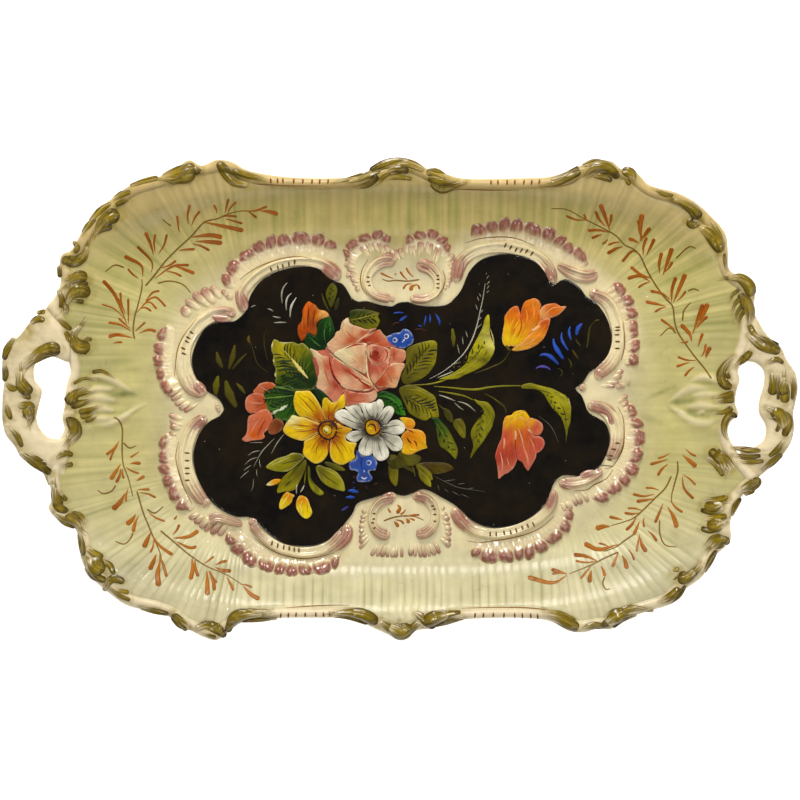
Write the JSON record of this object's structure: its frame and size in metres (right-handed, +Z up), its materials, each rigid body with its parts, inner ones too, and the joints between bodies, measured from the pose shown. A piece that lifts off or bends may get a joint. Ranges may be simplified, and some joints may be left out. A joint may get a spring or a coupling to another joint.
{
  "type": "moulded ceramic serving tray",
  "caption": "Long glazed ceramic tray with a lobed rim, pierced loop handles, a flared wall, raised scroll and shell relief round a black ground painted with a bouquet, and a foot ring.",
  "frame": {"origin": "centre of the tray's outline, on the surface that it stands on", "axes": "+X runs from handle to handle towards the right-hand handle of the view from above, +Y is away from the viewer of that view, +Z is up, out of the dish"},
  "size_m": [0.521, 0.3147, 0.0412],
  "materials": {
    "cream_glaze": "glossy cream glaze with thin olive-green vertical streaks, browner on the wall and bare ivory at the lip",
    "ivory_glaze": "glossy ivory glaze with olive and mauve brushwork along the edges of the relief",
    "mauve_glaze": "glossy glaze, mauve-brown brushed over cream, paler between the lobes",
    "olive_glaze": "glossy olive-brown glaze, dark in the hollows and golden on the high parts",
    "black_glaze": "glossy near-black glaze painted with flowers, leaves and grasses"
  },
  "bodies": {
    "root": {"dish_body": "cream_glaze", "foot_ring": "cream_glaze", "handle_left": "ivory_glaze", "handle_right": "ivory_glaze", "black_ground": "black_glaze", "frame_scroll_top_left": "ivory_glaze", "frame_scroll_left_upper": "ivory_glaze", "frame_scroll_left_lower": "ivory_glaze", "frame_curl_bottom_left": "ivory_glaze", "frame_scroll_bottom_left": "ivory_glaze", "frame_scroll_top_right": "ivory_glaze", "frame_curl_top_right": "ivory_glaze", "frame_scroll_right_upper": "ivory_glaze", "frame_scroll_right_lower": "ivory_glaze", "frame_curl_right_lower": "ivory_glaze", "frame_scroll_bottom_right": "ivory_glaze", "cartouche_top_left_scroll": "ivory_glaze", "cartouche_top_right_scroll": "ivory_glaze", "cartouche_bottom_left_scroll": "ivory_glaze", "cartouche_bottom_right_scroll": "ivory_glaze", "fringe_top_left": "mauve_glaze", "fringe_cartouche_top_left": "mauve_glaze", "fringe_cartouche_top_right": "mauve_glaze", "fringe_top_right": "mauve_glaze", "fringe_right_upper": "mauve_glaze", "fringe_right_lower": "mauve_glaze", "fringe_bottom_right": "mauve_glaze", "fringe_bottom_left": "mauve_glaze", "fringe_left_lower": "mauve_glaze", "fringe_left_upper": "mauve_glaze", "rim_scroll_top_left_corner": "olive_glaze", "rim_leaf_top_left": "olive_glaze", "rim_hook_top_left": "olive_glaze", "rim_bud_left_upper": "olive_glaze", "rim_bud_left_lower": "olive_glaze", "rim_curl_left": "olive_glaze", "handle_left_upper_scroll": "olive_glaze", "handle_left_lower_scroll": "olive_glaze", "handle_left_bud": "olive_glaze", "rim_curl_left_lower": "olive_glaze", "rim_scroll_left_low": "olive_glaze", "rim_leaf_left_low": "olive_glaze", "rim_shell_bottom_left": "olive_glaze", "rim_scroll_bottom_left": "olive_glaze", "rim_scroll_bottom_centre_left": "olive_glaze", "rim_shell_bottom": "olive_glaze", "rim_scroll_bottom_centre_right": "olive_glaze", "rim_scroll_bottom_right_corner": "olive_glaze", "rim_curl_bottom_right": "olive_glaze", "rim_scroll_right_low": "olive_glaze", "rim_bud_right_lower": "olive_glaze", "rim_bud_right_upper": "olive_glaze", "rim_curl_right_lower": "olive_glaze", "handle_right_outer_bud": "olive_glaze", "handle_right_lower_scroll": "olive_glaze", "rim_shell_top_right": "olive_glaze", "rim_leaf_top_right": "olive_glaze", "rim_shell_right_upper": "olive_glaze"}
  },
  "joints": []
}
